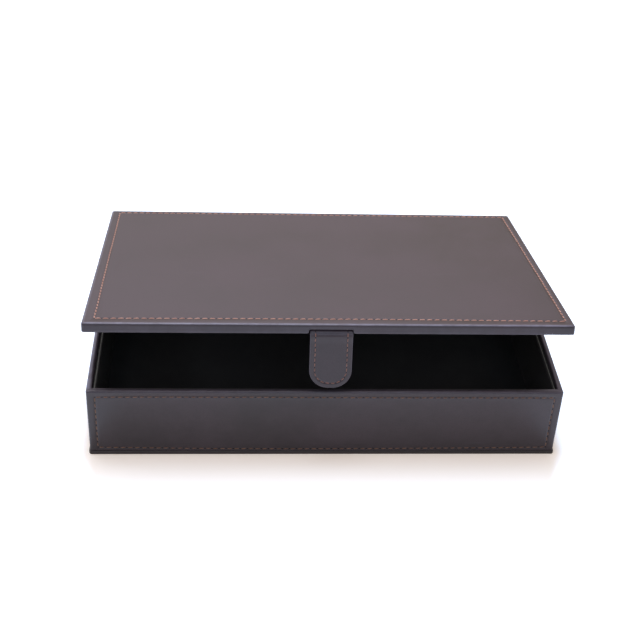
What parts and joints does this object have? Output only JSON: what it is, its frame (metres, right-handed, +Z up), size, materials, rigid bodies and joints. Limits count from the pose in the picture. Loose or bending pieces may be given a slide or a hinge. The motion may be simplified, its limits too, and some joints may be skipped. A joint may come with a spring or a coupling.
{
  "type": "leather gift box",
  "caption": "Shallow rectangular leather-covered box for papers, with a stitched hinged lid, a closing tab and a dark flocked lining.",
  "frame": {"origin": "centre of the box's footprint, on the surface that it stands on", "axes": "+X along the box's width, to the right as seen from the front; +Y from the front wall to the hinge; +Z up"},
  "size_m": [0.3314, 0.2352, 0.1102],
  "materials": {
    "leather": "satin",
    "base_leather": "matte",
    "thread": "satin",
    "flock": "matte",
    "board": "matte",
    "card": "matte",
    "stiffener": "matte",
    "magnet": "satin"
  },
  "bodies": {
    "box": {"front_board": "board", "front_leather": "leather", "front_seam": "thread", "front_liner_card": "card", "front_liner_flock": "flock", "right_board": "board", "right_leather": "leather", "right_seam": "thread", "right_liner_card": "card", "right_liner_flock": "flock", "back_board": "board", "back_leather": "leather", "back_seam": "thread", "back_liner_card": "card", "back_liner_flock": "flock", "left_board": "board", "left_leather": "leather", "left_seam": "thread", "left_liner_card": "card", "left_liner_flock": "flock", "base_board": "board", "base_cover": "base_leather", "wall_magnet": "magnet", "floor_card": "card", "floor_flock": "flock", "hinge_fold": "leather"},
    "lid": {"lid_board": "board", "lid_leather": "leather", "lid_seam": "thread", "lid_filler_card": "card", "lid_lining_card": "card", "lid_lining_flock": "flock", "tab_strap": "leather"},
    "tab": {"tab_front_leather": "leather", "tab_back_leather": "leather", "tab_stiffener": "stiffener", "tab_magnet": "magnet", "tab_seam": "thread"}
  },
  "joints": [
    {"name": "lid_hinge", "type": "hinge", "parent": "box", "child": "lid", "pos_m": [0, 0.114, 0.0563], "axis": [-1, 0, 0], "range_deg": [-11.8, 93.2]},
    {"name": "tab_bend", "type": "hinge", "parent": "lid", "child": "tab", "pos_m": [0, -0.11033, 0.10454], "axis": [-1, 0, 0], "range_deg": [0, 100], "stiffness_Nm_per_rad": 0.002}
  ]
}
